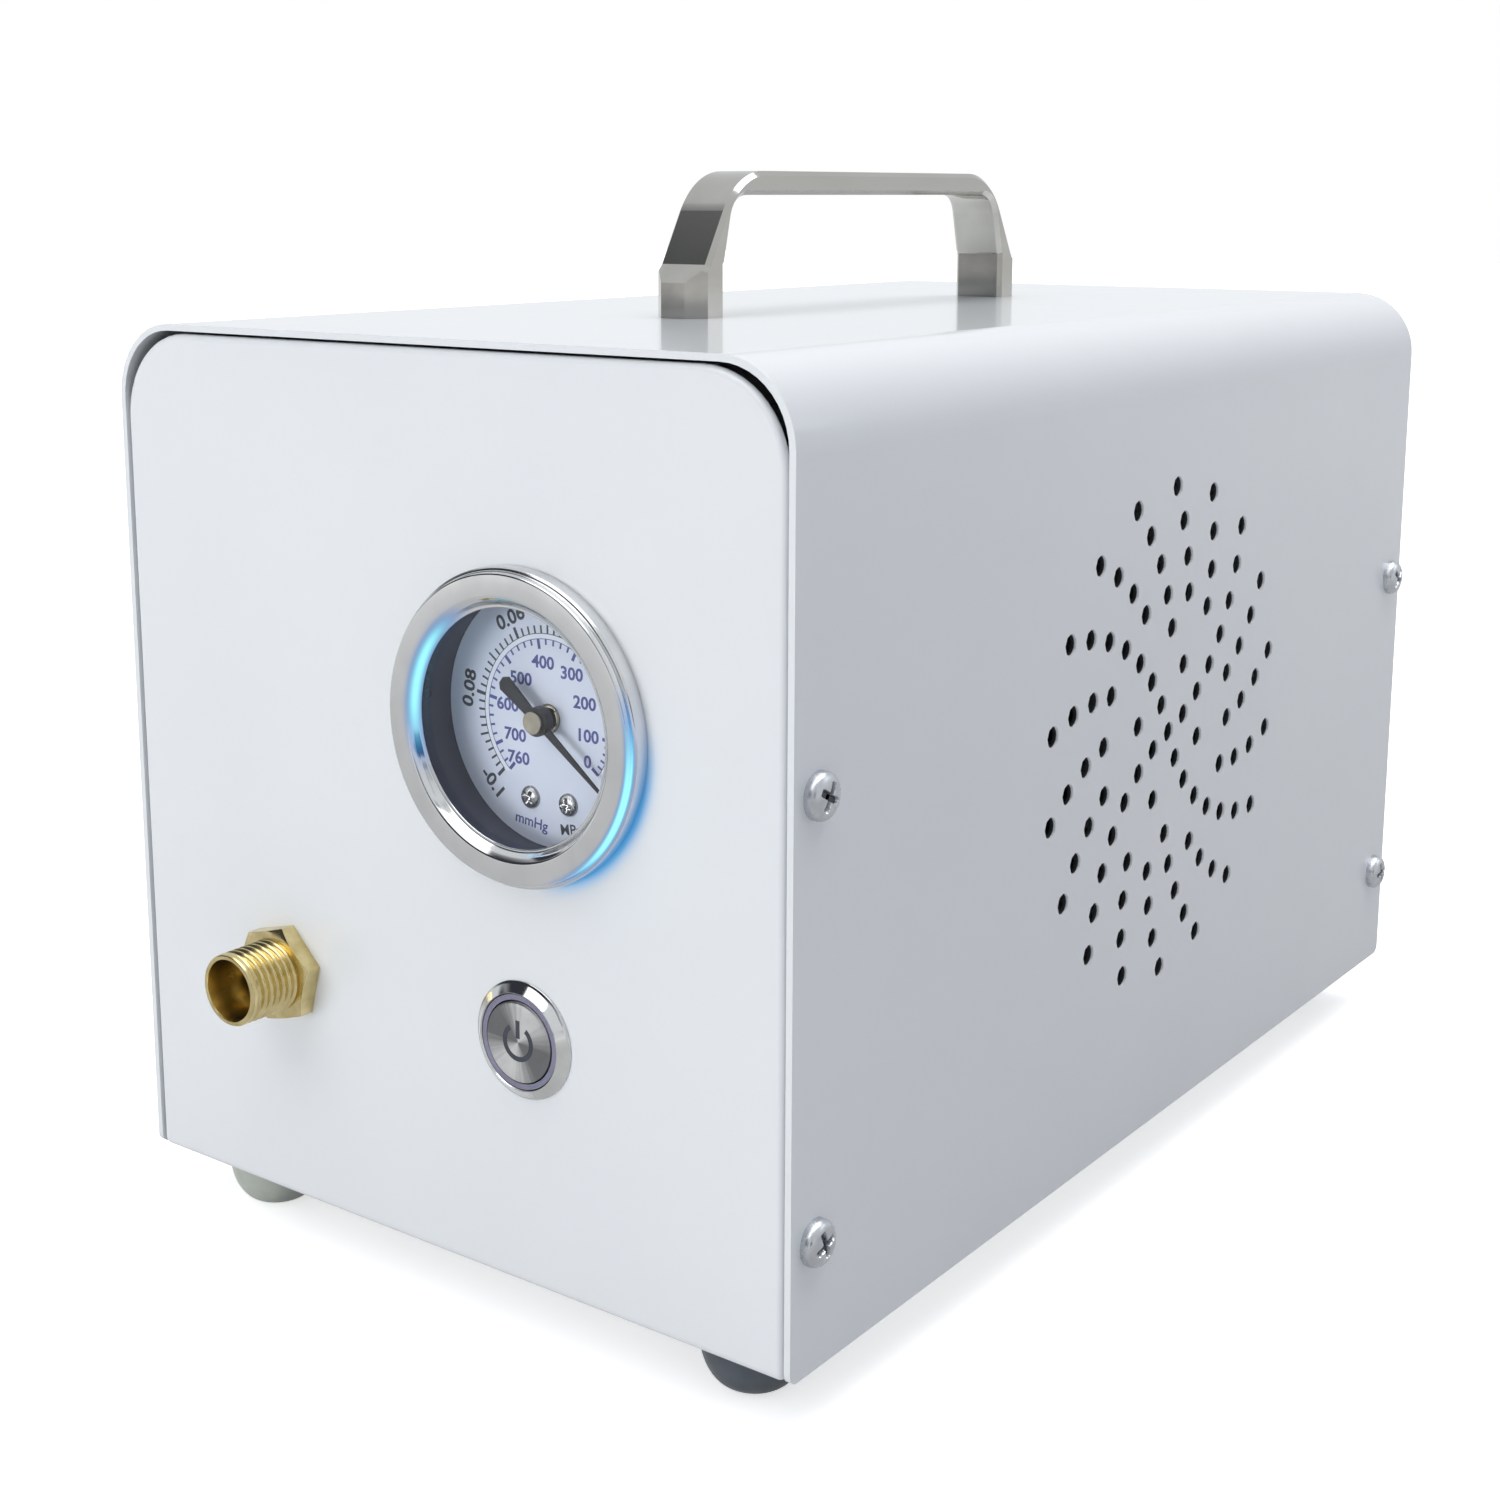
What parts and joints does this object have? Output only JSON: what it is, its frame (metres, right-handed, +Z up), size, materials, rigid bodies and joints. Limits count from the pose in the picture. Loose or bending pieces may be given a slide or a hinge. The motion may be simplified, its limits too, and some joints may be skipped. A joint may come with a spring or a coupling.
{
  "type": "diaphragm vacuum pump",
  "caption": "Benchtop diaphragm vacuum pump: white sheet-metal case with vented sides, carrying handle, panel vacuum gauge, power button, brass inlet nipple and rubber feet",
  "frame": {"origin": "on the floor under the middle of the pump's outline", "axes": "X to the right seen from the front, front panel faces -Y, Z up"},
  "size_m": [0.1592, 0.2836, 0.2022],
  "materials": {
    "case_white": "smooth white powder coat, semi-gloss",
    "handle_nickel": "polished nickel plate",
    "screw_zinc": "bright zinc plate",
    "foot_rubber": "soft grey rubber, slight sheen",
    "bezel_chrome": "polished stainless",
    "gauge_black": "dark satin paint",
    "gauge_glass": "clear flat lens",
    "dial_white": "white satin dial",
    "pointer_black": "black satin paint",
    "brass": "turned brass",
    "bronze_tube": "drawn bronze",
    "switch_steel": "brushed stainless",
    "switch_light": "translucent ring, emissive",
    "black_plastic": "moulded black plastic",
    "hose_clear": "milky silicone",
    "motor_paint": "black enamel",
    "cast_alloy": "die-cast, as cast",
    "ground_steel": "ground steel",
    "copper_coil": "lacquered copper windings on dark laminations",
    "diaphragm_rubber": "black elastomer"
  },
  "bodies": {
    "housing": {"cover": "case_white", "chassis": "case_white", "side_screws": "screw_zinc", "handle": "handle_nickel", "handle_screws": "screw_zinc", "foot_front_left": "foot_rubber", "foot_front_right": "foot_rubber", "foot_rear_left": "foot_rubber", "foot_rear_right": "foot_rubber", "foot_screws": "screw_zinc", "gauge_bezel": "bezel_chrome", "gauge_glass": "gauge_glass", "gauge_case": "gauge_black", "gauge_dial": "dial_white", "gauge_dial_screws": "brass", "gauge_movement": "brass", "gauge_tube": "bronze_tube", "gauge_socket": "brass", "gauge_clamp": "screw_zinc", "lock_nuts": "brass", "switch_body": "switch_steel", "switch_light_ring": "switch_light", "switch_base": "black_plastic", "switch_terminals": "brass", "switch_nut": "screw_zinc", "inlet_nipple": "brass", "vacuum_tee": "brass", "nipple_hose": "hose_clear", "intake_hose": "hose_clear", "gauge_hose": "hose_clear", "exhaust_hose": "hose_clear", "motor_can": "motor_paint", "motor_front_bell": "cast_alloy", "motor_rear_bell": "cast_alloy", "motor_bearings": "ground_steel", "motor_stator": "copper_coil", "crankcase": "cast_alloy", "crankcase_cover": "cast_alloy", "diaphragm": "diaphragm_rubber", "valve_plate": "cast_alloy", "reed_valves": "ground_steel", "pump_head": "cast_alloy", "head_screws": "screw_zinc", "isolators": "diaphragm_rubber", "motor_base": "ground_steel", "exhaust_silencer": "bronze_tube", "power_inlet": "black_plastic", "inlet_pins": "brass", "inlet_screws": "screw_zinc"},
    "crank": {"motor_shaft": "ground_steel", "motor_rotor": "ground_steel", "eccentric": "ground_steel", "cooling_fan": "black_plastic"},
    "rod": {"rod_bearing": "ground_steel", "connecting_rod": "cast_alloy", "clamp_disc": "cast_alloy"},
    "pointer": {"gauge_pointer": "pointer_black", "gauge_arbor": "brass"},
    "sector": {"gauge_sector": "brass"},
    "button": {"switch_button": "switch_steel"}
  },
  "joints": [
    {"name": "button_press", "type": "slide", "parent": "housing", "child": "button", "axis": [0, 1, 0], "range_m": [0, 0.0025], "stiffness_N_per_m": 1000, "springref_m": -0.0015},
    {"name": "sector_swing", "type": "hinge", "parent": "housing", "child": "sector", "pos_m": [0.022, -0.1145, 0.09988], "axis": [0, 1, 0], "range_deg": [0, 33.58]},
    {"name": "pointer_sweep", "type": "hinge", "parent": "housing", "child": "pointer", "pos_m": [0.022, -0.1145, 0.1115], "axis": [0, -1, 0], "range_deg": [0, 263.5]},
    {"name": "crank_spin", "type": "hinge", "parent": "housing", "child": "crank", "pos_m": [-0.0375, 0.002, 0.093], "axis": [1, 0, 0], "continuous": true},
    {"name": "rod_swing", "type": "hinge", "parent": "crank", "child": "rod", "pos_m": [-0.0375, -0.0005, 0.093], "axis": [1, 0, 0], "continuous": true}
  ],
  "couplings": [
    {"joint": "pointer_sweep", "follows": "sector_swing", "ratio": 7.8462},
    {"joint": "rod_swing", "follows": "crank_spin", "ratio": -1}
  ]
}
